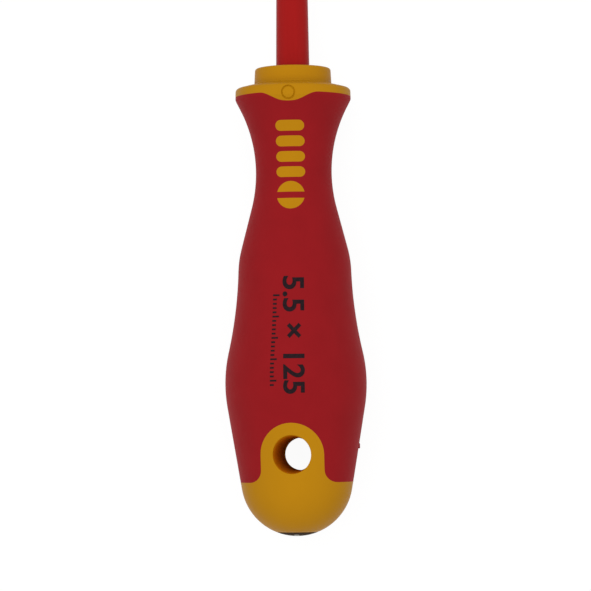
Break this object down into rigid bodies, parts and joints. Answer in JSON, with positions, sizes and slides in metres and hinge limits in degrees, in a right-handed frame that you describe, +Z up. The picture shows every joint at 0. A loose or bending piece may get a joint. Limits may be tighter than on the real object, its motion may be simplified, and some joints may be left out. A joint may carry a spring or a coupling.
{
  "type": "insulated screwdriver",
  "caption": "Flat-blade screwdriver with an insulated shaft, a waisted soft-grip handle over a hard core, a flange, a hanging hole and a marker disc in the domed end.",
  "frame": {"origin": "under the middle of the tool's length, on the surface that it lies on", "axes": "+Y along the tool from the domed handle end to the tip, +Z up along the hanging hole, +X to the right"},
  "size_m": [0.0336, 0.2362, 0.0336],
  "materials": {
    "blade_steel": "satin plated chrome-vanadium steel, ground at the tip",
    "insulation_yellow": "smooth moulded polyamide",
    "insulation_red": "smooth moulded polyamide",
    "core_plastic": "glass-filled moulding, never seen",
    "hard_yellow": "satin moulded polypropylene",
    "soft_red": "matt thermoplastic elastomer with a fine mould texture",
    "disc_dark": "satin moulded plastic with a plain tip symbol"
  },
  "bodies": {
    "root": {"blade": "blade_steel", "inner_insulation": "insulation_yellow", "outer_insulation": "insulation_red", "handle_core": "core_plastic", "handle_body": "hard_yellow", "soft_grip": "soft_red", "end_disc": "disc_dark"}
  },
  "joints": []
}
